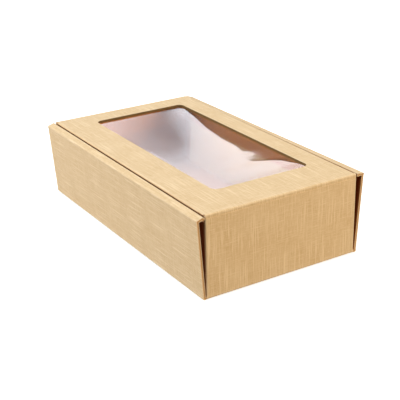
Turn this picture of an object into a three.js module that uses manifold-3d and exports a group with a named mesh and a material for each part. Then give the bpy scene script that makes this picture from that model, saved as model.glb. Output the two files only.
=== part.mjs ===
// Window carton for two bottles lying side by side, folded from corrugated board.
// Millimetres, +Z up, +Y along the length towards the tuck flap, origin at the middle of the underside.
import * as THREE from 'three';
import { mergeVertices } from 'three/addons/utils/BufferGeometryUtils.js';
import Module from 'manifold-3d';

const wasm = await Module();
wasm.setup();

// Sizes over the outside
const length = 340;
const width = 185;
const height = 90;

// Board and creases
const board = 2.7;
const creaseRadius = 0.6;
const creaseSteps = 4;

// Long walls: an outer panel, a ledge on top and an inner panel folded back down
const wallOffset = 2.3;
const ledgeSlack = 0.8;
const ledgeInnerDrop = 1.5;
const ledgeOuterDrop = 3.7;
const rightNearRise = 3;
const footGap = 0.4;
const innerPanelCutback = 13;

// End walls and their corner flaps, which lie between the two panels of a long wall
const cornerFlapLength = 62;
const cornerFlapDrop = 9.5;
const cornerFlapShoulder = 11;
const cornerFlapGap = 0.3;
const farWallDrop = 1.2;

// Lid with its ears and tuck flap
const lidSideGap = 0.9;
const hingeGap = 0.3;
const earDepth = 30;
const earSetback = 14;
const earGap = 0.5;
const earRelief = 0.8;
const tuckDepth = 34;
const tuckLean = 3.5;
const tuckGap = 0.5;
const tuckInset = 3;

// Window and its film
const windowWidth = 119.5;
const windowLength = 262.5;
const windowShift = 7.5;
const windowFromHinge = 47.4;
const windowCorner = 7;
const filmThickness = 0.25;
const filmGap = 0.3;
const filmMargin = 12;

// Fits
const overlap = 0.8;
const reach = 1;

const foldOuter = creaseRadius + board;
const halfBoard = board / 2;
const endY = length / 2;
const sideX = width / 2;
const ledgeWidth = 3 * board + ledgeSlack;
const hingeZ = height - foldOuter - overlap;
const flapTop = height - cornerFlapDrop;

// Middle of the board at the creases of the right-hand long wall
const baseCrease = new THREE.Vector2(sideX + wallOffset, halfBoard);
const outerCrease = new THREE.Vector2(
  sideX + lidSideGap + ledgeWidth - halfBoard,
  height - ledgeOuterDrop - halfBoard,
);
const innerCrease = new THREE.Vector2(
  sideX + lidSideGap + halfBoard,
  height - ledgeInnerDrop - halfBoard,
);
const innerFoot = new THREE.Vector2(
  sideX - board - cornerFlapGap - halfBoard,
  board + footGap,
);
const innerLean = (innerCrease.x - innerFoot.x) / (innerCrease.y - innerFoot.y);

function mirrored(points) {
  return points.map((point) => new THREE.Vector2(-point.x, point.y)).reverse();
}

// Outline of a board seen edge-on: it follows the folds along its middle and bends round each one
function boardOutline(folds) {
  const bend = creaseRadius + halfBoard;
  const middle = [];
  folds.forEach((fold, index) => {
    const before = folds[Math.max(index - 1, 0)];
    const after = folds[Math.min(index + 1, folds.length - 1)];
    const headingIn = index > 0 ? fold.clone().sub(before).angle() : after.clone().sub(fold).angle();
    const headingOut = index < folds.length - 1 ? after.clone().sub(fold).angle() : headingIn;
    const turn = Math.atan2(Math.sin(headingOut - headingIn), Math.cos(headingOut - headingIn));
    const bends = Math.abs(turn) > 0.01;
    const setback = bends ? bend * Math.tan(Math.abs(turn) / 2) : 0;
    const side = Math.sign(turn);
    const start = new THREE.Vector2(Math.cos(headingIn), Math.sin(headingIn)).multiplyScalar(-setback).add(fold);
    const centre = new THREE.Vector2(-Math.sin(headingIn), Math.cos(headingIn)).multiplyScalar(side * bend).add(start);
    const steps = bends ? creaseSteps : 0;
    for (let step = 0; step <= steps; step += 1) {
      const heading = headingIn + (bends ? (turn * step) / steps : 0);
      const normal = new THREE.Vector2(-Math.sin(heading), Math.cos(heading));
      middle.push({ normal, point: normal.clone().multiplyScalar(-side * bend).add(bends ? centre : start) });
    }
  });
  const left = middle.map(({ point, normal }) => normal.clone().multiplyScalar(halfBoard).add(point));
  const right = middle.map(({ point, normal }) => normal.clone().multiplyScalar(-halfBoard).add(point));
  return [...left, ...right.reverse()];
}

function rectangle(lowX, highX, lowY, highY) {
  return [
    new THREE.Vector2(lowX, lowY),
    new THREE.Vector2(highX, lowY),
    new THREE.Vector2(highX, highY),
    new THREE.Vector2(lowX, highY),
  ];
}

function roundedRectangle(lowX, highX, lowY, highY, radius) {
  const shape = new THREE.Shape();
  shape.absarc(highX - radius, highY - radius, radius, 0, Math.PI / 2);
  shape.absarc(lowX + radius, highY - radius, radius, Math.PI / 2, Math.PI);
  shape.absarc(lowX + radius, lowY + radius, radius, Math.PI, Math.PI * 1.5);
  shape.absarc(highX - radius, lowY + radius, radius, Math.PI * 1.5, Math.PI * 2);
  return shape.getPoints(6);
}

// Where an outline's own two axes and its depth point, for a body drawn along each axis
const basis = {
  x: [new THREE.Vector3(0, 1, 0), new THREE.Vector3(0, 0, 1), new THREE.Vector3(1, 0, 0)],
  y: [new THREE.Vector3(1, 0, 0), new THREE.Vector3(0, 0, 1), new THREE.Vector3(0, -1, 0)],
  z: [new THREE.Vector3(1, 0, 0), new THREE.Vector3(0, 1, 0), new THREE.Vector3(0, 0, 1)],
};

// An outline drawn along one axis from low to high, with each corner then moved by the shift
function drawn(outline, axis, low, high, shift = () => {}) {
  const geometry = new THREE.ExtrudeGeometry(new THREE.Shape(outline), {
    depth: high - low,
    bevelEnabled: false,
  });
  geometry.applyMatrix4(new THREE.Matrix4().makeBasis(...basis[axis]));
  const start = axis === 'y' ? high : low;
  geometry.translate(axis === 'x' ? start : 0, axis === 'y' ? start : 0, axis === 'z' ? start : 0);
  geometry.deleteAttribute('normal');
  geometry.deleteAttribute('uv');
  const merged = mergeVertices(geometry, 1e-4);
  const position = merged.getAttribute('position');
  const corner = new THREE.Vector3();
  for (let index = 0; index < position.count; index += 1) {
    corner.fromBufferAttribute(position, index);
    shift(corner);
    position.setXYZ(index, corner.x, corner.y, corner.z);
  }
  const mesh = new wasm.Mesh({ numProp: 3, vertProperties: position.array, triVerts: Uint32Array.from(merged.index.array) });
  return new wasm.Manifold(mesh);
}

function joined(solids) {
  return solids.reduce((sum, solid) => sum.add(solid));
}

function cut(solid, tools) {
  return tools.reduce((rest, tool) => rest.subtract(tool), solid);
}

// The right-hand ledge flattens towards the hinge end as its outer crease rises
function liftRightNear(corner) {
  const across = (corner.x - innerCrease.x) / (outerCrease.x - innerCrease.x);
  const along = (endY - corner.y) / length;
  corner.z += rightNearRise * along * THREE.MathUtils.clamp(across, 0, 1);
}

// Half way between the two panels of the right-hand long wall at a given height
function betweenPanels(z) {
  return THREE.MathUtils.lerp(
    (baseCrease.x + innerFoot.x) / 2,
    (outerCrease.x + innerCrease.x) / 2,
    (z - halfBoard) / (outerCrease.y - halfBoard),
  );
}

// A corner flap stands square at its end wall and leans into the space between the two panels
function leanFlap(corner) {
  const fromEnd = endY - Math.abs(corner.y);
  const ramp = THREE.MathUtils.clamp((fromEnd - foldOuter) / (cornerFlapShoulder - foldOuter), 0, 1);
  corner.x += Math.sign(corner.x) * ramp * (betweenPanels(corner.z) - (sideX - halfBoard));
}

function longWallsAndBase() {
  const right = [baseCrease, outerCrease, innerCrease, innerFoot];
  return drawn(boardOutline([...mirrored(right), ...right]), 'y', -endY, endY, liftRightNear);
}

// The inner panels stop short of the end walls, where the corner flaps fold round
function innerPanelCutter(side, low, high) {
  const bottom = board + footGap / 2;
  const inside = innerFoot.x - board - reach;
  const outside = betweenPanels(outerCrease.y);
  const outline = [
    new THREE.Vector2(inside, bottom),
    new THREE.Vector2(betweenPanels(bottom), bottom),
    new THREE.Vector2(outside, outerCrease.y - creaseRadius),
    new THREE.Vector2(innerCrease.x - board, innerCrease.y - foldOuter / 2),
    new THREE.Vector2(inside, innerCrease.y - foldOuter / 2),
  ];
  return drawn(side > 0 ? outline : mirrored(outline), 'y', low, high);
}

// Lower fold of an end wall, with a little of the base and of the wall
function endFold(end) {
  const path = [
    new THREE.Vector2(end * (endY - foldOuter - 2 * overlap), halfBoard),
    new THREE.Vector2(end * (endY - halfBoard), halfBoard),
    new THREE.Vector2(end * (endY - halfBoard), foldOuter + 2 * overlap),
  ];
  return drawn(boardOutline(path), 'x', -sideX, sideX);
}

// End wall above its fold, with the corner flaps folded back from its upright edges
function endWall(end, top) {
  const wallY = end * (endY - halfBoard);
  const flapX = sideX - halfBoard;
  const rightHalf = [
    new THREE.Vector2(flapX, wallY),
    new THREE.Vector2(flapX, end * (endY - cornerFlapShoulder)),
    new THREE.Vector2(flapX, end * (endY - cornerFlapLength)),
  ];
  const outline = boardOutline([...mirrored(rightHalf), ...rightHalf]);
  const wall = drawn(outline, 'z', foldOuter + overlap, top, leanFlap);
  const flapY = [end * (endY - foldOuter), end * (endY - cornerFlapLength - reach)];
  const above = drawn(
    rectangle(-outerCrease.x, outerCrease.x, Math.min(...flapY), Math.max(...flapY)),
    'z',
    flapTop,
    height + reach,
  );
  return wall.subtract(above);
}

function trayBody() {
  const baseEnds = [-1, 1].map((end) => {
    const fromY = end < 0 ? -endY - reach : endY - foldOuter - overlap;
    const toY = fromY + foldOuter + overlap + reach;
    return drawn(rectangle(-sideX, sideX, -reach, board + footGap / 2), 'y', fromY, toY);
  });
  const panelEnds = [-1, 1].flatMap((side) => [
    innerPanelCutter(side, -endY - reach, -endY + innerPanelCutback),
    innerPanelCutter(side, endY - innerPanelCutback, endY + reach),
  ]);
  return joined([
    cut(longWallsAndBase(), [...baseEnds, ...panelEnds]),
    endFold(-1),
    endFold(1),
    endWall(-1, hingeZ - hingeGap),
    endWall(1, height - farWallDrop),
  ]);
}

const lidFarY = endY - board - tuckGap;
const earStart = -endY + earSetback;
const earEnd = lidFarY - earSetback;

const earPanelX = sideX - foldOuter - overlap;

// One ear with its fold and a little of the lid panel
function ear(side) {
  const lean = innerLean * earDepth + earGap;
  const path = [
    new THREE.Vector2(side * (earPanelX - overlap), height - halfBoard),
    new THREE.Vector2(side * (sideX - halfBoard), height - halfBoard),
    new THREE.Vector2(side * (sideX - halfBoard - lean), height - earDepth),
  ];
  return drawn(boardOutline(path), 'y', earStart + earRelief, earEnd - earRelief);
}

// Lid panel from its hinge fold to the tuck flap
function lidPanel() {
  const lean = Math.tan(THREE.MathUtils.degToRad(tuckLean)) * tuckDepth;
  const path = [
    new THREE.Vector2(-endY + halfBoard, hingeZ),
    new THREE.Vector2(-endY + halfBoard, height - halfBoard),
    new THREE.Vector2(lidFarY - halfBoard, height - halfBoard),
    new THREE.Vector2(lidFarY - halfBoard - lean, height - tuckDepth),
  ];
  return drawn(boardOutline(path), 'x', -sideX, sideX);
}

function lidBody() {
  const besideEars = [-1, 1].map((side) => {
    const edges = [side * earPanelX, side * width];
    return drawn(rectangle(Math.min(...edges), Math.max(...edges), earStart, earEnd), 'z', 0, height + reach);
  });
  const besideTuck = [-1, 1].map((side) => {
    const edges = [side * (sideX - tuckInset), side * width];
    return drawn(rectangle(Math.min(...edges), Math.max(...edges), earEnd, endY), 'z', 0, hingeZ);
  });
  const window = drawn(
    roundedRectangle(windowLeft, windowRight, windowNear, windowFar, windowCorner),
    'z',
    height - board - reach,
    height + reach,
  );
  return joined([cut(lidPanel(), [...besideEars, ...besideTuck, window]), ear(-1), ear(1)]);
}

const windowLeft = windowShift - windowWidth / 2;
const windowRight = windowShift + windowWidth / 2;
const windowNear = -endY + windowFromHinge;
const windowFar = windowNear + windowLength;

// Clear sheet under the window, larger than it all round
function filmSheet() {
  const top = height - board - filmGap;
  const outline = rectangle(
    windowLeft - filmMargin,
    windowRight + filmMargin,
    windowNear - filmMargin,
    windowFar + filmMargin,
  );
  return drawn(outline, 'z', top - filmThickness, top);
}

function named(name, solid, material) {
  const { vertProperties, triVerts } = solid.getMesh();
  const geometry = new THREE.BufferGeometry();
  geometry.setAttribute('position', new THREE.BufferAttribute(vertProperties, 3));
  geometry.setIndex(new THREE.BufferAttribute(triVerts, 1));
  geometry.computeVertexNormals();
  const mesh = new THREE.Mesh(geometry, new THREE.MeshStandardMaterial(material));
  mesh.name = name;
  return mesh;
}

const carton = new THREE.Group();
carton.name = 'window_carton';
carton.add(
  named('tray', trayBody(), { color: 0xd8b888, roughness: 0.85, metalness: 0 }),
  named('lid', lidBody(), { color: 0xedd3a2, roughness: 0.85, metalness: 0 }),
  named('window_film', filmSheet(), {
    color: 0xf4f4f4,
    roughness: 0.05,
    metalness: 0,
    transparent: true,
    opacity: 0.3,
  }),
);

export default carton;
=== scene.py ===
"""Window carton for two lying bottles: linen-embossed kraft board folded from one blank, and a clear film.

Sizes are in millimetres and become metres when a mesh is made. A board is worked out from its middle surface:
points M(i, j) and unit normals N(i, j) towards the linen side. Its two faces lie half a board to either side.
"""
import math

import bpy
import numpy as np
from mathutils import Matrix, Vector


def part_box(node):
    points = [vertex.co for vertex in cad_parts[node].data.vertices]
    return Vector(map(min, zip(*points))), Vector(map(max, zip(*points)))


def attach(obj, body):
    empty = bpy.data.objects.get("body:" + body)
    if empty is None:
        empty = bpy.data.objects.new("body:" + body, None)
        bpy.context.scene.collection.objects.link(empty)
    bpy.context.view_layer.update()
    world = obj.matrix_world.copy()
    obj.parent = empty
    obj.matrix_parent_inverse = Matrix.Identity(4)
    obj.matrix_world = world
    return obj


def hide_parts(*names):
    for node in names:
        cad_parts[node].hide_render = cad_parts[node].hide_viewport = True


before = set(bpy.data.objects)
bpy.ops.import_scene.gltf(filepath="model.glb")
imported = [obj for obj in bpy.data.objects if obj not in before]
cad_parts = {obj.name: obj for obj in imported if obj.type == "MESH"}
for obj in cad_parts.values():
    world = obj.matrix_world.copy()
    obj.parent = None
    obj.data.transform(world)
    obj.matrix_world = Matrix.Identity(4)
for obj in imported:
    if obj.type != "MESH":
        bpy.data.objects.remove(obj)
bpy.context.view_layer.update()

MM = 0.001
X, Y, Z = 0, 1, 2
ALL = slice(None)

# Outer sizes, from the frame
SIDE_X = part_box("lid")[1][X] / MM
END_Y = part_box("tray")[1][Y] / MM
LID_FAR_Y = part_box("lid")[1][Y] / MM
TOP_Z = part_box("lid")[1][Z] / MM
FILM_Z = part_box("window_film")[1][Z] / MM
FILM_MARGIN = 12.0
WINDOW_LOW = np.array(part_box("window_film")[0])[:2] / MM + FILM_MARGIN
WINDOW_HIGH = np.array(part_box("window_film")[1])[:2] / MM - FILM_MARGIN
WINDOW_CORNER = 7.0

# Board and folds. BEND is a fold's radius along the middle of the board, FOLD the one of its outer face
BOARD = 2.7
HALF = BOARD / 2
CREASE_RADIUS = 0.6
BEND = CREASE_RADIUS + HALF
FOLD = BEND + HALF
FOLD_CREST = 0.95
LEAST_TURN = 0.02

# Long walls: how far they lean out and how their ledges drop, and the warp of the right-hand one
WALL_OFFSET = 2.3
LID_GAP = 0.9
LEDGE_WIDTH = 3 * BOARD + 0.8
LEDGE_DROP_INSIDE = 1.5
LEDGE_DROP_OUTSIDE = 3.7
FOOT_GAP = 0.3
FOOT_LIFT = 0.4
INNER_CUTBACK = 13.0
CUTBACK_START, CUTBACK_RUN = 1.5, 3.0
STANDING_FROM = 1.0
RIGHT_NEAR_RISE = 3.0
RIGHT_SEAM_RISE = 1.5

# End walls and their corner flaps, which lean into the long walls beyond the shoulder
FAR_WALL_TOP = TOP_Z - 1.2
FLAP_LENGTH = 62.0
FLAP_TOP = TOP_Z - 9.5
FLAP_SHOULDER = 11.0
FLAP_LIFT = 1.0
FLAP_FADE = 2.0
FLAP_LEAN_START, FLAP_LEAN_RUN = 7.0, 5.5

# Lid: a little narrower than the frame's, for the dark seams, and set back at the hinge to clear the end wall
LID_X = SIDE_X - 0.5
LID_NEAR_Y = -END_Y + 0.25
HINGE_BELOW_FOLD = 0.95
HINGE_Z = TOP_Z - FOLD - HINGE_BELOW_FOLD
EAR_INSET = 14.8
EAR_LOW_Y = -END_Y + EAR_INSET
EAR_HIGH_Y = LID_FAR_Y - EAR_INSET
EAR_DEPTH = 30.0
EAR_SLIT = 0.15
EAR_CORNER = 9.0
EAR_TUCK_IN = 0.5
SHORT_FOLD_DEPTH = FOLD + 0.6
SHARP_CORNER = 0.01
TUCK_DEPTH = 34.0
TUCK_LEAN = math.tan(math.radians(3.5)) * TUCK_DEPTH
TUCK_INSET = 3.0
TUCK_INSET_RUN = 1.5
TUCK_CORNER = 16.0

# Spacing of a surface's points: along a path, and across it, where a cut edge needs some for each flute
WALL_STEP = 5.0
PLAIN_STEP = 4.0
FLAP_STEP = 1.5
WALL_FLUTE_STEP = 2.2
FLAP_FLUTE_STEP = 1.1
RING_STEP = 0.9
RING_BANDS = 9
CORNER_POINTS = 13
BASE_FOLD_POINTS = 9

# Right-hand creases along the middle of the board, seen from the hinge end
BASE_CREASE = (SIDE_X + WALL_OFFSET, HALF)
OUTER_CREASE = (SIDE_X + LID_GAP + LEDGE_WIDTH - HALF, TOP_Z - LEDGE_DROP_OUTSIDE - HALF)
INNER_CREASE = (SIDE_X + LID_GAP + HALF, TOP_Z - LEDGE_DROP_INSIDE - HALF)
INNER_FOOT = (SIDE_X - BOARD - FOOT_GAP - HALF, BOARD + FOOT_LIFT)
INNER_LEAN = (INNER_CREASE[0] - INNER_FOOT[0]) / (INNER_CREASE[1] - INNER_FOOT[1])

# Corrugated edge, as cut: two liners with the fluted sheet between them, and hollows sunk beside it
FLUTE_PITCH = 6.5
FLUTE_SWING = 0.36
FLUTE_SHEET = 0.32
LINER = 0.4
EDGE_RECESS = 0.35
EDGE_SLOPE = 0.3
EDGE_STEPS = 12

# Painted shade in brown, each a band: where it starts, how soon it is full, where it ends and how early it
# fades
SEAM_SHADE_ON_LEDGE = (-0.2, 0.7, 4.0, 1.5)
SEAM_SHADE_ON_LID = (1.9, 0.7, 5.2, 1.2)
HOLLOW_SHADE_ON_WALL = (0.0, 3.0, 20.0, 6.0)
HOLLOW_SHADE_ON_FLAP = (FOLD - 1.2, 1.5, 24.0, 8.0)
SEAM_SHADE_STRENGTH = 0.85
LEAST_SHADE = 0.02
WINDOW_EDGE_SHADE = 1.8

# Film: the crease that its slack makes as (x, y), and its height there as (height, y), hinge end first
CREASE = [
    (66.5, -122), (65.5, -117), (60, -109), (50, -93), (37, -86), (23, -80), (21, -73), (22, -64), (31, -50),
    (36.0, -30), (37.0, 1), (44.3, 44.7), (57.2, 91), (66.4, 136.5), (66.7, 140),
]
RIDGE = [
    (1.6, -122), (2.2, -106), (2.9, -85), (3.2, -70), (3.3, -45), (3.3, -20), (3.1, 5), (2.45, 45), (1.1, 91),
    (0.1, 137), (0.05, 140),
]
CREASE_BLUR, RIDGE_BLUR = 1.6, 9.0
CREASE_ROUND = 0.10
CREASE_MARGIN = 0.5
FILM_STEPS = (150, 240)
FILM_SHEET = 0.1
FILM_SWELL = 0.9
SWELL_START, SWELL_RUN = -0.3, 1.4
END_FADE = 14.0
LEFT_FADE, RIGHT_FADE = 6.0, 1.5

# Ripples of the film: height, waves along x and along y in radians per mm, and phase
RIPPLES = ((0.05, 0.083, 0.031, 0.0), (0.10, 0.028, -0.047, 1.9))

# Material slots of a sheet, and the dark brown of the painted shade
SLOTS = {"outside": 0, "inside": 1, "edge": 2}
SHADE_BROWN = "#803c00"


def clamp(x):
    """x held between nought and one."""
    return np.clip(x, 0.0, 1.0)


def smooth(x):
    """Nought below 0, one above 1, and x x (3 - 2 x) between them."""
    x = clamp(x)
    return x * x * (3 - 2 * x)


def band(x, start, rise, end, fall):
    """One between start and end, with a smooth rise after the one and a smooth fall before the other."""
    return smooth((x - start) / rise) * smooth((end - x) / fall)


def all_along(values, along):
    """One value for each row of a grid, repeated along the row."""
    return np.repeat(values[:, None], along.shape[1], 1)


def mirrored(path):
    """The same path on the other side, in the opposite order."""
    return [(-x, y) for x, y in reversed(path)]


def crease_reach(tilt):
    """How far beyond a panel's edge its crease line lies, for a fold by a right angle and a tilt."""
    return BEND * math.tan(math.pi / 4 + tilt / 2)


def folded_path(folds, step, arc_steps=10):
    """Middle line through the folds: straight stretches, with each fold an arc of radius BEND.

    Gives points (n, 2), left-hand normals (n, 2), length along the line (n,) and nearness to a fold (n,)."""
    folds = np.asarray(folds, float)
    points, normals, creased = [], [], []
    cursor = folds[0]
    for k in range(1, len(folds)):
        run = folds[k] - folds[k - 1]
        heading = math.atan2(run[1], run[0])
        left = np.array([-math.sin(heading), math.cos(heading)])
        turn = 0.0
        if k < len(folds) - 1:
            onward = folds[k + 1] - folds[k]
            turn = math.atan2(run[0] * onward[1] - run[1] * onward[0], run @ onward)
        setback = BEND * math.tan(abs(turn) / 2)
        stop = folds[k] - run / np.linalg.norm(run) * setback
        count = max(1, int(np.linalg.norm(stop - cursor) / step))
        points.append(cursor + (stop - cursor) * np.linspace(0, 1, count + 1)[:, None])
        normals.append(np.repeat(left[None], count + 1, 0))
        creased.append(np.zeros(count + 1))
        cursor = stop
        if abs(turn) > LEAST_TURN:
            side = math.copysign(1.0, turn)
            centre = stop + left * side * BEND
            share = np.linspace(0, 1, arc_steps + 1)[1:-1]
            angle = heading + turn * share
            lefts = np.stack([-np.sin(angle), np.cos(angle)], 1)
            points.append(centre - lefts * side * BEND)
            normals.append(lefts)
            creased.append(np.sin(math.pi * share))
            last = heading + turn
            cursor = centre - np.array([-math.sin(last), math.cos(last)]) * side * BEND
    points = np.concatenate(points)
    steps = np.linalg.norm(np.diff(points, axis=0), axis=1)
    lengths = np.concatenate([[0], np.cumsum(steps)])
    moved = np.concatenate([[True], steps > 1e-6])
    return points[moved], np.concatenate(normals)[moved], lengths[moved], np.concatenate(creased)[moved]


def swept(points, normals, low, high, axis, step):
    """Middle surface of a board: a path carried along an axis from low to high, each given per path point."""
    count = max(2, int(np.max(high - low) / step) + 1)
    along = low[:, None] + (high - low)[:, None] * np.linspace(0, 1, count)[None]
    place, normal = np.empty(along.shape + (3,)), np.zeros(along.shape + (3,))
    first, second = [k for k in (X, Y, Z) if k != axis]
    place[..., first], place[..., second], place[..., axis] = points[:, :1], points[:, 1:], along
    normal[..., first], normal[..., second] = normals[:, :1], normals[:, 1:]
    return place, normal, along


def grid_faces(rows, columns, first, flip):
    """Corner numbers of a grid's quads."""
    i, j = np.meshgrid(np.arange(rows - 1), np.arange(columns - 1), indexing="ij")
    a = (first + i * columns + j).ravel()
    quads = np.stack([a, a + columns, a + columns + 1, a + 1], 1)
    return quads[:, ::-1] if flip else quads


class Sheet:
    """Collects grids for one mesh: places, sheet coordinates, relief, and which ply each face shows.

    Relief is 0 on a plain face and rises to 1 at a crease, or in the hollows of a cut edge. A cut edge with
    painted shade, where it lies in shade, has up to 2. Below 0 it is the strength of a painted shade in dark
    brown."""

    def __init__(self):
        self.places, self.sheet_uv, self.relief, self.quads, self.ply = [], [], [], [], []
        self.count = 0

    def grid(self, places, uv, relief, ply, flip):
        rows, columns = places.shape[:2]
        self.quads.append(grid_faces(rows, columns, self.count, flip))
        self.ply.append(np.full((rows - 1) * (columns - 1), SLOTS[ply]))
        self.places.append(places.reshape(-1, 3))
        self.sheet_uv.append(uv.reshape(-1, 2))
        self.relief.append(relief.reshape(-1))
        self.count += rows * columns

    def board(
        self, middle, normal, uv, relief, edges="abcd", joins="", edge_shade=0.0, relief_inside=None,
        creased=None,
    ):
        """Two faces half a board either side of middle, with a cut edge on each side named in edges.

        a and b are the first and last row, c and d the first and last column. A side named in joins meets
        another board and is closed by a plain wall. The outer face stands out by FOLD_CREST creased^2 more."""
        creased = np.maximum(relief, 0) if creased is None else all_along(creased, relief)
        outer = middle + normal * (HALF + FOLD_CREST * creased[..., None] ** 2)
        inner = middle - normal * HALF
        i, j = middle.shape[0] // 2, middle.shape[1] // 2
        corner = middle[i, j]
        turned = np.cross(corner - middle[i - 1, j], corner - middle[i, j - 1]) @ normal[i, j] < 0
        self.grid(outer, uv, relief, "outside", turned)
        self.grid(inner, uv, relief if relief_inside is None else relief_inside, "inside", not turned)
        lines = {
            "a": (0, ALL, 1, ALL), "b": (-1, ALL, -2, ALL),
            "c": (ALL, 0, ALL, 1), "d": (ALL, -1, ALL, -2),
        }
        for name in edges + joins:
            i, j, i_next, j_next = lines[name]
            into = middle[i_next, j_next] - middle[i, j]
            steps = 1 if name in joins else EDGE_STEPS
            flip = (name in "bc") != turned
            self.cut_edge(outer[i, j], inner[i, j], into, uv[i, j][:, 1], steps, edge_shade, flip)

    def cut_edge(self, outer, inner, into, v, steps, edge_shade, flip):
        """Strip from the outer to the inner liner, sunk towards into wherever there is no paper.

        The fluted sheet runs at 0.5 + FLUTE_SWING sin(2 pi v / FLUTE_PITCH) of the way through the board."""
        into = into / (np.linalg.norm(into, axis=-1, keepdims=True) + 1e-12)
        across = np.linspace(0, 1, steps + 1)[None]
        wave = 0.5 + FLUTE_SWING * np.sin(2 * math.pi * (v - END_Y) / FLUTE_PITCH)
        from_liner = np.minimum(across, 1 - across) * BOARD
        from_flute = np.abs(across - wave[:, None]) * BOARD
        sunk = smooth((from_liner - LINER) / EDGE_SLOPE) * smooth((from_flute - FLUTE_SHEET / 2) / EDGE_SLOPE)
        place = outer[:, None] * (1 - across[..., None]) + inner[:, None] * across[..., None]
        place = place + into[:, None] * EDGE_RECESS * sunk[..., None]
        uv = np.stack([all_along(v, sunk), np.repeat(across * BOARD, len(v), 0)], -1)
        # A cut edge that lies in shade takes painted shade, as relief above 1
        self.grid(place, uv, np.maximum(sunk, edge_shade), "edge", flip)

    def finish(self, name, body, slot, replaced, materials):
        """Puts the grids into one mesh, in metres, with its UV map and relief, and ties it to the frame."""
        mesh = bpy.data.meshes.new(name)
        mesh.from_pydata(np.concatenate(self.places) * MM, [], np.concatenate(self.quads).tolist())
        mesh.polygons.foreach_set("material_index", np.concatenate(self.ply))
        layer = mesh.uv_layers.new(name="sheet")
        corner = np.empty(len(mesh.loops), int)
        mesh.loops.foreach_get("vertex_index", corner)
        layer.data.foreach_set("uv", (np.concatenate(self.sheet_uv)[corner] * MM).ravel())
        relief = mesh.attributes.new("relief", "FLOAT", "POINT")
        relief.data.foreach_set("value", np.concatenate(self.relief))
        mesh.update()
        mesh.shade_smooth()
        for material in materials:
            mesh.materials.append(material)
        piece = bpy.data.objects.new(name, mesh)
        bpy.context.collection.objects.link(piece)
        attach(piece, body)
        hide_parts(replaced)
        return piece


def between_panels(z):
    """Middle of the hollow between an outer and an inner panel at height z, on the right."""
    low, high = (BASE_CREASE[0] + INNER_FOOT[0]) / 2, (OUTER_CREASE[0] + INNER_CREASE[0]) / 2
    return low + (high - low) * (z - HALF) / (OUTER_CREASE[1] - HALF)


def long_walls(sheet):
    """Base, outer panels, ledges and inner panels as one path across the box, carried along its length.

    The right-hand ledge rises evenly towards the hinge end, by RIGHT_NEAR_RISE at its outer crease and by
    RIGHT_SEAM_RISE at its inner one, and the panels below follow it."""
    right = [BASE_CREASE, OUTER_CREASE, INNER_CREASE, INNER_FOOT]
    points, lefts, lengths, creased = folded_path(mirrored(right) + right, WALL_STEP)
    u = lengths - lengths[-1] / 2
    outer_crease = u[np.argmax(points[:, 0])]
    inner_crease = outer_crease + math.dist(OUTER_CREASE, INNER_CREASE)
    past_crease = np.abs(u) - inner_crease
    on_base = np.abs(u) < BASE_CREASE[0] - FOLD
    inside = smooth((past_crease - CUTBACK_START) / CUTBACK_RUN)
    reach = END_Y - FOLD * on_base - INNER_CUTBACK * inside
    place, normal, along = swept(points, -lefts, -reach, reach, Y, WALL_FLUTE_STEP)
    rise = np.interp(u, (BASE_CREASE[0], outer_crease, inner_crease), (0, RIGHT_NEAR_RISE, RIGHT_SEAM_RISE))
    place[..., Z] += rise[:, None] * (END_Y - place[..., Y]) / (2 * END_Y)
    uv = np.stack([all_along(u, along), along], -1)
    folds = all_along(creased, along)
    standing = (np.abs(u) > BASE_CREASE[0] + STANDING_FROM) & (past_crease < 0)
    # Painted shade in dark brown along the ledge's inner crease, where the seam under the lid's fold lies in
    # shade
    seam_shade = np.where(standing, 0, band(past_crease, *SEAM_SHADE_ON_LEDGE))[:, None]
    relief = np.where(seam_shade > LEAST_SHADE, -SEAM_SHADE_STRENGTH * seam_shade, folds)
    # Painted shade in dark brown on the inside faces of the standing panels near the ends, deep in the corner
    # gaps
    hollow = band(END_Y - np.abs(along), *HOLLOW_SHADE_ON_WALL)
    relief_inside = np.where(standing[:, None], -hollow, folds)
    sheet.board(place, normal, uv, relief, relief_inside=relief_inside, creased=creased)


def end_wall(sheet, end, top):
    """End wall with its corner flaps, as one path round the corners, carried upwards.

    A flap starts a little higher, ends lower, and leans into the hollow of the long wall beside it."""
    wall_y, flap_x = end * (END_Y - HALF), SIDE_X - HALF
    half = [(flap_x, wall_y), (flap_x, end * (END_Y - FLAP_SHOULDER)), (flap_x, end * (END_Y - FLAP_LENGTH))]
    points, lefts, lengths, creased = folded_path(mirrored(half) + half, PLAIN_STEP)
    from_end = END_Y - np.abs(points[:, 1])
    flap = smooth((from_end - BEND) / FLAP_FADE)
    low = FOLD + FLAP_LIFT * flap
    high = top + (FLAP_TOP - top) * flap
    place, normal, along = swept(points, lefts * end, low, high, Z, PLAIN_STEP)
    ramp = smooth((END_Y - np.abs(place[..., Y]) - FLAP_LEAN_START) / FLAP_LEAN_RUN)
    lean = between_panels(place[..., Z]) - flap_x
    place[..., X] += np.sign(place[..., X]) * ramp * lean
    u = lengths - lengths[-1] / 2
    wall_v = END_Y - FOLD + BEND * math.pi / 2 - FOLD
    uv = np.stack([all_along(u, along), end * (wall_v + along)], -1)
    folds = all_along(creased, along)
    on_flap = np.abs(points[:, 0]) > flap_x - HALF / 2
    # Painted shade in dark brown on the flaps' outer faces, deep in the corner gaps
    hollow = np.where(on_flap, band(from_end, *HOLLOW_SHADE_ON_FLAP), 0)[:, None]
    relief = np.where(hollow > 0, -hollow, folds)
    sheet.board(place, normal, uv, relief, relief_inside=folds, creased=creased)


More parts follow.
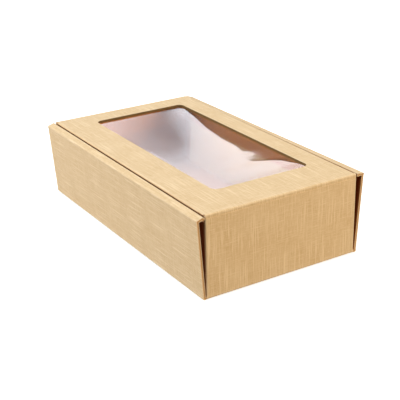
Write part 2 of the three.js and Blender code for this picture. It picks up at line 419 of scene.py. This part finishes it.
def base_fold(sheet, end):
    """Quarter round of radius BEND that joins an end wall to the base, carried across the box."""
    angle = np.linspace(0, math.pi / 2, BASE_FOLD_POINTS)
    arc = np.stack([end * (END_Y - FOLD + BEND * np.sin(angle)), FOLD - BEND * np.cos(angle)], 1)
    arc_normal = np.stack([end * np.sin(angle), -np.cos(angle)], 1)
    across = np.full(len(angle), SIDE_X)
    place, normal, along = swept(arc, arc_normal, -across, across, X, PLAIN_STEP)
    uv = np.stack([along, all_along(end * (END_Y - FOLD + BEND * angle), along)], -1)
    sheet.board(place, normal, uv, all_along(np.sin(2 * angle), along), edges="cd", joins="ab")


def window_ring():
    """The window's rounded outline, and for each of its points the matching one on the panel's rectangle.

    Straight sides match side to side. A corner's arc matches the panel's corner, reached along both sides."""
    centre, half = (WINDOW_HIGH + WINDOW_LOW) / 2, (WINDOW_HIGH - WINDOW_LOW) / 2
    panel_low = np.array([-LID_X + FOLD, LID_NEAR_Y + FOLD])
    panel_high = np.array([LID_X - FOLD, LID_FAR_Y - FOLD])
    panel_centre, panel_half = (panel_high + panel_low) / 2, (panel_high - panel_low) / 2
    share = np.linspace(0, 1, CORNER_POINTS)[:, None]
    pairs = []
    for start, corner in ((0, (1, 1)), (90, (-1, 1)), (180, (-1, -1)), (270, (1, -1))):
        angle = np.radians(start + 90 * share[:, 0])
        round_corner = WINDOW_CORNER * np.stack([np.cos(angle), np.sin(angle)], 1)
        arc = centre + (half - WINDOW_CORNER) * corner + round_corner
        unit = (arc - centre) / half
        to_corner = unit[0] + (corner - unit[0]) * clamp(2 * share)
        from_corner = corner + (unit[-1] - corner) * clamp(2 * share - 1)
        rim = panel_centre + panel_half * np.where(share <= 0.5, to_corner, from_corner)
        pairs.append(np.concatenate([arc, rim], 1))
    ring = []
    for k in range(4):
        last, onward = pairs[k][-1], pairs[(k + 1) % 4][0]
        steps = np.linspace(0, 1, int(np.linalg.norm((onward - last)[:2]) / RING_STEP))[1:-1, None]
        ring += [pairs[k], last + (onward - last) * steps]
    ring = np.concatenate(ring + [pairs[0][:1]])
    return ring[:, :2], ring[:, 2:]


def lid_panel(sheet):
    """Flat ring from the window's edge out to the folds: a straight blend of the two outlines."""
    inner, outer = window_ring()
    share = np.linspace(0, 1, RING_BANDS)[None, :, None]
    flat = inner[:, None] * (1 - share) + outer[:, None] * share
    place = np.concatenate([flat, np.full(flat.shape[:2] + (1,), TOP_Z - HALF)], -1)
    normal = np.broadcast_to([0.0, 0.0, 1.0], place.shape)
    # Painted shade in brown on the window's cut edge, which lies in deep shade
    sheet.board(place, normal, flat, np.zeros(flat.shape[:2]), edges="c", joins="d", edge_shade=WINDOW_EDGE_SHADE)


def round_trim(lengths, corner):
    """How much shorter a flap is on each side, for quarter rounds of radius corner at its free end."""
    left_over = clamp(1 - (lengths[-1] - lengths) / corner)
    return corner * (1 - np.sqrt(1 - left_over ** 2))


def ears(sheet):
    """Long edges of the lid: a fold that runs to both ends, with an ear that hangs from it between slits."""
    ear_lean = INNER_LEAN * EAR_DEPTH + EAR_TUCK_IN
    stretches = (
        (LID_NEAR_Y + FOLD, EAR_LOW_Y - EAR_SLIT, SHORT_FOLD_DEPTH, SHARP_CORNER, 0.0),
        (EAR_LOW_Y, EAR_HIGH_Y, EAR_DEPTH, EAR_CORNER, ear_lean),
        (EAR_HIGH_Y + EAR_SLIT, LID_FAR_Y - FOLD, SHORT_FOLD_DEPTH, SHARP_CORNER, 0.0),
    )
    panel_x = LID_X - FOLD
    for side in (-1, 1):
        for first_y, last_y, depth, corner, lean in stretches:
            crease_x = panel_x + crease_reach(math.atan(lean / (depth - HALF)))
            foot = (side * (crease_x - lean), TOP_Z - depth)
            path = [(side * panel_x, TOP_Z - HALF), (side * crease_x, TOP_Z - HALF), foot]
            points, lefts, lengths, creased = folded_path(path, FLAP_STEP)
            trim = round_trim(lengths, corner)
            low, high = first_y + trim, last_y - trim
            place, normal, along = swept(points, lefts * side, low, high, Y, FLAP_FLUTE_STEP)
            uv = np.stack([all_along(side * (panel_x + lengths), along), along], -1)
            # Painted shade in dark brown low on the lid's side fold, where it goes down into the seam
            seam_shade = band(lengths, *SEAM_SHADE_ON_LID)
            relief = all_along(np.where(seam_shade > LEAST_SHADE, -SEAM_SHADE_STRENGTH * seam_shade, creased), along)
            sheet.board(place, normal, uv, relief, edges="bcd", joins="a", creased=creased)


def hinge_strip(sheet):
    """Fold over the hinge wall, down to HINGE_Z, where it meets the top of that wall."""
    near = LID_NEAR_Y
    path = [(near + FOLD, TOP_Z - HALF), (near + HALF, TOP_Z - HALF), (near + HALF, HINGE_Z)]
    points, lefts, lengths, creased = folded_path(path, FLAP_STEP)
    across = np.full(len(points), LID_X)
    place, normal, along = swept(points, -lefts, -across, across, X, PLAIN_STEP)
    uv = np.stack([along, all_along(near + FOLD - lengths, along)], -1)
    sheet.board(place, normal, uv, all_along(creased, along), edges="bcd", joins="a")


def tuck_flap(sheet):
    """Tuck flap at the far end, a little narrower than the lid, with rounded corners."""
    far = LID_FAR_Y
    crease_y = far - FOLD + crease_reach(math.atan(TUCK_LEAN / (TUCK_DEPTH - HALF)))
    path = [(far - FOLD, TOP_Z - HALF), (crease_y, TOP_Z - HALF), (crease_y - TUCK_LEAN, TOP_Z - TUCK_DEPTH)]
    points, lefts, lengths, creased = folded_path(path, FLAP_STEP)
    inset = TUCK_INSET * smooth((lengths - FOLD) / TUCK_INSET_RUN)
    across = LID_X - inset - round_trim(lengths, TUCK_CORNER)
    place, normal, along = swept(points, lefts, -across, across, X, FLAP_FLUTE_STEP)
    uv = np.stack([along, all_along(far - FOLD + lengths, along)], -1)
    sheet.board(place, normal, uv, all_along(creased, along), edges="bcd", joins="a")


def smoothed_knots(y, knots, width):
    """Values between knots (value, y), averaged over a bell curve of the given width."""
    knots = np.array(knots)
    near = np.exp(-0.5 * ((y[:, None] - y[None]) / width) ** 2)
    return near @ np.interp(y, knots[:, 1], knots[:, 0]) / near.sum(1)


def film():
    """Clear film under the window, glued at its border and creased where it lies slack.

    The crease runs at x = c(y). The height is P(y) (x - left) / (c - left) up to the crease and
    P(y) (right - x) / (right - c) beyond it, the lower of the two, with the corner rounded over CREASE_ROUND.
    c(y) and P(y) come from the knots in CREASE and RIDGE. Ripples are sines of x and y. From the window's edge
    inwards the film swells up by FILM_SWELL."""
    low, high = np.array(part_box("window_film")) / MM
    x = np.linspace(low[X], high[X], FILM_STEPS[0])
    y = np.linspace(low[Y], high[Y], FILM_STEPS[1])
    crease = smoothed_knots(y, CREASE, CREASE_BLUR)
    ridge = smoothed_knots(y, RIDGE, RIDGE_BLUR)
    x, y = np.meshgrid(x, y, indexing="ij")
    left, near = WINDOW_LOW
    right, far = WINDOW_HIGH
    rising = ridge * (x - left) / (crease - left)
    falling = ridge * (right - x) / np.maximum(right - crease, CREASE_MARGIN)
    slack = (rising + falling - np.sqrt((rising - falling) ** 2 + CREASE_ROUND ** 2)) / 2
    ends = band(y, near, END_FADE, far, END_FADE)
    sides = band(x, left, LEFT_FADE, right, RIGHT_FADE)
    ripples = sum(height * np.sin(by_x * x + by_y * y + phase) for height, by_x, by_y, phase in RIPPLES)
    from_edge = np.minimum(np.minimum(x - left, right - x), np.minimum(y - near, far - y))
    swell = FILM_SWELL * smooth((from_edge - SWELL_START) / SWELL_RUN)
    z = FILM_Z - FILM_SHEET + swell + np.maximum(slack * sides, 0) * ends + ripples * sides * ends
    place = np.stack([x, y, z], -1)
    below = place - [0, 0, FILM_SHEET]
    flat = np.zeros(x.shape)
    sheet = Sheet()
    sheet.grid(place, place[..., :2], flat, "outside", False)
    sheet.grid(below, place[..., :2], flat, "inside", True)
    for rim, flip in ((np.s_[0], False), (np.s_[-1], True), (np.s_[:, 0], True), (np.s_[:, -1], False)):
        strip = np.stack([place[rim], below[rim]], 1)
        sheet.grid(strip, strip[..., :2], np.zeros(strip.shape[:2]), "outside", flip)
    return sheet


def linear(colour):
    """Hex sRGB to linear RGBA."""
    parts = [int(colour[k:k + 2], 16) / 255 for k in (1, 3, 5)]
    return [p / 12.92 if p <= 0.04045 else ((p + 0.055) / 1.055) ** 2.4 for p in parts] + [1.0]


def add(tree, kind, inputs=None, out=0, **settings):
    """One node, with its settings and with values or links for its inputs. Gives the output that out says.

    Inputs are a dict by name or number, or a list from the first one on."""
    made = tree.nodes.new("ShaderNode" + kind)
    for name, value in settings.items():
        setattr(made, name, value)
    given = inputs.items() if isinstance(inputs, dict) else enumerate(inputs or [])
    for socket, value in given:
        if isinstance(value, bpy.types.NodeSocket):
            tree.links.new(value, made.inputs[socket])
        else:
            made.inputs[socket].default_value = value
    return made.outputs[out] if made.outputs else None


def empty_material(name):
    material = bpy.data.materials.new(name)
    material.use_nodes = True
    material.node_tree.nodes.clear()
    return material, material.node_tree


def started(name, values):
    """Material with its shader and output, the shader's plain values set."""
    material, tree = empty_material(name)
    surface = add(tree, "BsdfPrincipled", values)
    add(tree, "OutputMaterial", {"Surface": surface})
    return material, tree, surface.node


def stretched_noise(tree, places, across, along, axis, detail=2.0, seed=0.0):
    """Streaks that run along the given axis of the sheet. Their sizes across and along are in mm."""
    size = [1 / (along * MM), 1 / (across * MM), 1 / (across * MM)]
    if axis == Y:
        size = [size[1], size[0], size[2]]
    scaled = add(tree, "Mapping", {"Vector": places, "Scale": size, "Location": (seed, seed * 0.7, 0)})
    return add(tree, "TexNoise", {"Vector": scaled, "Scale": 1.0, "Detail": detail}, out="Fac")


def with_painted_shade(tree, relief, colour):
    """Painted shade in dark brown where relief is below nought: in seams and hollows, where the studio light
    is too bright.
    """
    share = add(tree, "MapRange", [relief, -1.0, 0.0, 1.0, 0.0])
    return add(tree, "Mix", {0: share, 6: colour, 7: linear(SHADE_BROWN)}, out=2, data_type="RGBA")


def linen_kraft():
    """Kraft liner embossed with linen: the eye sees a sand brown ground with crossed paler threads.

    Real threads are finer. They are drawn 0.55 mm thick, with scattered ones of 0.9 mm, so that the render
    shows them. A crease is a little paler, where it is rubbed."""
    material, tree, shader = started("linen_embossed_kraft", {"Roughness": 0.6, "Specular IOR Level": 0.35})
    places = add(tree, "UVMap", uv_map="sheet")
    weft = stretched_noise(tree, places, across=0.55, along=9, axis=X)
    warp = stretched_noise(tree, places, across=0.55, along=9, axis=Y, seed=3.1)
    clearer_weft = add(tree, "MapRange", [weft, 0.3, 0.7])
    clearer_warp = add(tree, "MapRange", [warp, 0.3, 0.7])
    weave = add(tree, "Math", [clearer_weft, clearer_warp])
    fine = add(tree, "Math", [weave, 0.5], operation="MULTIPLY")
    long_weft = stretched_noise(tree, places, across=0.9, along=38, axis=X, detail=1.0, seed=5.3)
    long_warp = stretched_noise(tree, places, across=0.9, along=46, axis=Y, detail=1.0, seed=7.7)
    thick_warp = add(tree, "MapRange", [long_warp, 0.55, 0.70])
    thick_weft = add(tree, "MapRange", [long_weft, 0.56, 0.72])
    fainter_weft = add(tree, "Math", [thick_weft, 0.45], operation="MULTIPLY")
    thick = add(tree, "Math", [fainter_weft, thick_warp], operation="MAXIMUM")
    threads = add(tree, "Math", [fine, thick])
    mottle = add(tree, "TexNoise", {"Vector": places, "Scale": 1 / (28 * MM), "Detail": 3.0}, out="Fac")
    patches = {0: add(tree, "MapRange", [mottle, 0.35, 0.65]), 6: linear("#d2b380"), 7: linear("#d8bb8a")}
    ground = add(tree, "Mix", patches, out=2, data_type="RGBA")
    paler = {0: add(tree, "MapRange", [threads, 0.25, 1.3]), 6: ground, 7: linear("#ecd3a8")}
    woven = add(tree, "Mix", paler, out=2, data_type="RGBA")
    relief = add(tree, "Attribute", out="Fac", attribute_name="relief")
    rubbed = {0: add(tree, "MapRange", [relief, 0.2, 1.0, 0.0, 0.15]), 6: woven, 7: linear("#f3dfba")}
    colour = add(tree, "Mix", rubbed, out=2, data_type="RGBA")
    # Painted shade in dark brown where relief is below nought: in the seams and the corner gaps
    tree.links.new(with_painted_shade(tree, relief, colour), shader.inputs["Base Color"])
    bump = add(tree, "Bump", {"Height": threads, "Distance": 0.07 * MM, "Strength": 0.9})
    tree.links.new(bump, shader.inputs["Normal"])
    return material


def plain_kraft():
    """Kraft liner on the inside: plain matt brown, with faint fibres and a trace of the flutes under it."""
    material, tree, shader = started("plain_brown_kraft", {"Roughness": 0.75, "Specular IOR Level": 0.25})
    places = add(tree, "UVMap", uv_map="sheet")
    fibres = stretched_noise(tree, places, across=0.7, along=6, axis=Y, detail=4.0)
    along_box = add(tree, "SeparateXYZ", [places], out=Y)
    turns = add(tree, "Math", [along_box, 2 * math.pi / (FLUTE_PITCH * MM)], operation="MULTIPLY")
    flutes = add(tree, "Math", [turns], operation="SINE")
    trace = add(tree, "Math", [flutes, 0.08], operation="MULTIPLY")
    shade = add(tree, "Math", [add(tree, "MapRange", [fibres, 0.3, 0.7]), trace])
    browns = {0: shade, 6: linear("#bb7d49"), 7: linear("#d1945d")}
    colour = add(tree, "Mix", browns, out=2, data_type="RGBA")
    relief = add(tree, "Attribute", out="Fac", attribute_name="relief")
    # Painted shade in dark brown where relief is below nought: in the seams and the corner gaps
    tree.links.new(with_painted_shade(tree, relief, colour), shader.inputs["Base Color"])
    bump = add(tree, "Bump", {"Height": flutes, "Distance": 0.04 * MM, "Strength": 0.5})
    tree.links.new(bump, shader.inputs["Normal"])
    return material


def cut_kraft():
    """Raw cut edge: pale torn paper with a fuzz of 0.8 mm, tan in its hollows, and painted shade in brown
    where it lies in deep shade.
    """
    material, tree, shader = started("raw_cut_kraft", {"Roughness": 0.85, "Specular IOR Level": 0.15})
    relief = add(tree, "Attribute", out="Fac", attribute_name="relief")
    places = add(tree, "TexCoord", out="Object")
    fuzz = add(tree, "TexNoise", {"Vector": places, "Scale": 1 / (0.8 * MM), "Detail": 3.0}, out="Fac")
    torn = {0: add(tree, "MapRange", [fuzz, 0.3, 0.7]), 6: linear("#e2c396"), 7: linear("#f2ddb6")}
    pale = add(tree, "Mix", torn, out=2, data_type="RGBA")
    hollowed = add(tree, "Mix", {0: relief, 6: pale, 7: linear("#c59a68")}, out=2, data_type="RGBA")
    # Painted shade: brown where the edge lies in deep shade, as at the window
    shaded = {0: add(tree, "MapRange", [relief, 1.0, 2.0]), 6: hollowed, 7: linear("#4a3a1c")}
    colour = add(tree, "Mix", shaded, out=2, data_type="RGBA")
    tree.links.new(colour, shader.inputs["Base Color"])
    return material


def clear_film():
    """Clear cast polyester: the brown inside shows through, and its slack carries soft pale reflections."""
    values = {"Roughness": 0.06, "IOR": 1.57, "Transmission Weight": 1.0, "Base Color": linear("#fdfcfb")}
    return started("clear_polyester_film", values)[0]


# Softbox that the film mirrors: where it stands, the height of its corners, and its duller patch low down
SOFTBOX_TURN, SOFTBOX_RISE = math.radians(33), math.radians(27)
SOFTBOX_AWAY = 2.6
SOFTBOX_HALF_WIDTH = 1.1
SOFTBOX_HEIGHTS = (-1.2, 0.07, 0.9, 0.9)
SOFTBOX_GLOW = 2.25
GLOW_RISE = (-0.3, -0.05, SOFTBOX_GLOW, SOFTBOX_GLOW * 1.2)
PATCH_SIDE = (-0.22, -0.12)
PATCH_TOP = (-0.33, -0.12)
PATCH_DEPTH = (-0.45, -0.2, 0.78, 0.27)

# Floor and sky, and the lamps: place, what each one looks at, size, watts and colour
FLOOR_Z = -0.0003
FLOOR_GLOW = 0.45
SKY_HEIGHTS = (0.35, 0.8)
SKY_GLOW = (0.05, 0.7)
LAMPS = {
    "overhead": ((-0.1, 0.2, 1.9), (0, 0, 0), (1.6, 1.6), 12, "#f0f6ff"),
    "left": ((-1.9, 0.6, 0.5), (0, 0.1, 0.05), (1.6, 1.0), 36.5, "#fdfaff"),
    "front": ((0.8, -1.85, 0.6), (0, 0, 0.05), (0.5, 0.7), 30, "#ffe9d0"),
}

# Camera fitted to the photo: turn, rise and roll, and its distance from the point that it looks at
CAMERA_TURN, CAMERA_RISE, CAMERA_ROLL = math.radians(-31.60), math.radians(23.13), math.radians(-1.22)
CAMERA_AWAY = 1.06347
CAMERA_TARGET = np.array([-0.02179, -0.04638, 0.045])
CAMERA_LENS = 87.6
SENSOR_WIDTH = 36


def placed(name, data, place, target):
    """Object at place, turned so that its own -Z looks at the target."""
    piece = bpy.data.objects.new(name, data)
    bpy.context.collection.objects.link(piece)
    piece.location = place
    away = Vector(target) - piece.location
    piece.rotation_euler = away.to_track_quat("-Z", "Y").to_euler()
    return piece


def lamp(name, place, target, size, power, colour):
    """Soft lamp of the given size in metres and power in watts, turned to the target."""
    light = bpy.data.lights.new(name, "AREA")
    light.shape = "RECTANGLE"
    light.size, light.size_y = size
    light.energy = power
    light.color = linear(colour)[:3]
    placed(name, light, place, target)


def placed_panel(name, centre, target, x, heights, material):
    """Flat panel whose front looks at the target, from -x to x. Heights are those of its four corners."""
    corners = [(-x, heights[0], 0), (x, heights[1], 0), (x, heights[2], 0), (-x, heights[3], 0)]
    mesh = bpy.data.meshes.new(name)
    mesh.from_pydata(corners, [], [(0, 1, 2, 3)])
    mesh.materials.append(material)
    panel = placed(name, mesh, centre, [2 * c - t for c, t in zip(centre, target)])
    return panel


def softbox_glow():
    """Glow of the softbox cloth: brighter above its lowest part, with a duller, bluer patch low on one side.

    The patch deepens towards the middle, ends there with a soft side, and fades out upwards."""
    material, tree = empty_material("softbox_cloth")
    places = add(tree, "TexCoord", out="Object")
    x = add(tree, "SeparateXYZ", [places], out=X)
    y = add(tree, "SeparateXYZ", [places], out=Y)
    beside = add(tree, "MapRange", [x, *PATCH_SIDE], interpolation_type="SMOOTHSTEP")
    above = add(tree, "MapRange", [y, *PATCH_TOP], interpolation_type="SMOOTHSTEP")
    clear = add(tree, "Math", [beside, above], operation="MAXIMUM")
    share = add(tree, "Mix", {0: clear, 2: add(tree, "MapRange", [x, *PATCH_DEPTH]), 3: 1.0})
    brightness = add(tree, "MapRange", [y, *GLOW_RISE])
    strength = add(tree, "Math", [share, brightness], operation="MULTIPLY")
    cloth = {0: clear, 6: linear("#e6effb"), 7: linear("#f2f4fb")}
    colour = add(tree, "Mix", cloth, out=2, data_type="RGBA")
    glow = add(tree, "Emission", {"Color": colour, "Strength": strength})
    add(tree, "OutputMaterial", {"Surface": glow})
    return material


def white_paper():
    """Seamless white paper under the box, matt, and glowing a little to show as white as in the photo."""
    matt = {"Roughness": 0.9, "Specular IOR Level": 0.0, "Base Color": linear("#fbfbfb")}
    glow = {"Emission Color": linear("#ffffff"), "Emission Strength": FLOOR_GLOW}
    return started("white_paper_sweep", {**matt, **glow})[0]


def studio():
    """White floor that sends no light back, sky that is dark low down, mirrored softbox and three lamps."""
    floor = placed_panel("floor", (0, 0, FLOOR_Z), (0, 0, 1), 4, (-4, -4, 4, 4), white_paper())
    floor.visible_diffuse = False
    world = bpy.data.worlds.new("studio")
    world.use_nodes = True
    tree = world.node_tree
    background = tree.nodes["Background"]
    background.inputs["Color"].default_value = linear("#ffffff")
    height = add(tree, "SeparateXYZ", [add(tree, "TexCoord", out="Generated")], out=Z)
    sky = add(tree, "MapRange", [height, *SKY_HEIGHTS, *SKY_GLOW])
    tree.links.new(sky, background.inputs["Strength"])
    bpy.context.scene.world = world
    film_middle = np.array([0, 0, FILM_Z * MM])
    level = math.cos(SOFTBOX_RISE)
    away = np.array([math.sin(SOFTBOX_TURN) * level, math.cos(SOFTBOX_TURN) * level, math.sin(SOFTBOX_RISE)])
    centre = film_middle + SOFTBOX_AWAY * away
    placed_panel("back_softbox", centre, film_middle, SOFTBOX_HALF_WIDTH, SOFTBOX_HEIGHTS, softbox_glow())
    for name, (place, target, size, power, colour) in LAMPS.items():
        lamp(name, place, target, size, power, colour)


def camera():
    """Camera that looks at its target along a turned, raised and rolled line, with no shift."""
    level = math.cos(CAMERA_RISE)
    back = np.array([math.sin(CAMERA_TURN) * level, -math.cos(CAMERA_TURN) * level, math.sin(CAMERA_RISE)])
    right = np.cross(-back, [0, 0, 1])
    right /= np.linalg.norm(right)
    up = np.cross(right, -back)
    rolled_right = math.cos(CAMERA_ROLL) * right + math.sin(CAMERA_ROLL) * up
    rolled_up = -math.sin(CAMERA_ROLL) * right + math.cos(CAMERA_ROLL) * up
    place = CAMERA_TARGET + back * CAMERA_AWAY
    data = bpy.data.cameras.new("camera")
    data.lens = CAMERA_LENS
    data.sensor_width = SENSOR_WIDTH
    piece = bpy.data.objects.new("camera", data)
    bpy.context.collection.objects.link(piece)
    rows = np.stack([rolled_right, rolled_up, back, place], 1).tolist()
    piece.matrix_world = Matrix(rows + [[0, 0, 0, 1]])
    bpy.context.scene.camera = piece


def main():
    board = [linen_kraft(), plain_kraft(), cut_kraft()]
    tray = Sheet()
    long_walls(tray)
    for end, top in ((-1, HINGE_Z), (1, FAR_WALL_TOP)):
        end_wall(tray, end, top)
        base_fold(tray, end)
    tray.finish("tray_board", "tray", "kraft_board", "tray", board)
    lid = Sheet()
    lid_panel(lid)
    ears(lid)
    hinge_strip(lid)
    tuck_flap(lid)
    lid.finish("lid_board", "lid", "kraft_lid_board", "lid", board)
    clear = clear_film()
    sheet = film().finish("film_sheet", "lid", "clear_film", "window_film", [clear, clear])
    sheet.visible_shadow = False
    studio()
    camera()
    bpy.context.scene.view_settings.view_transform = "Standard"


main()
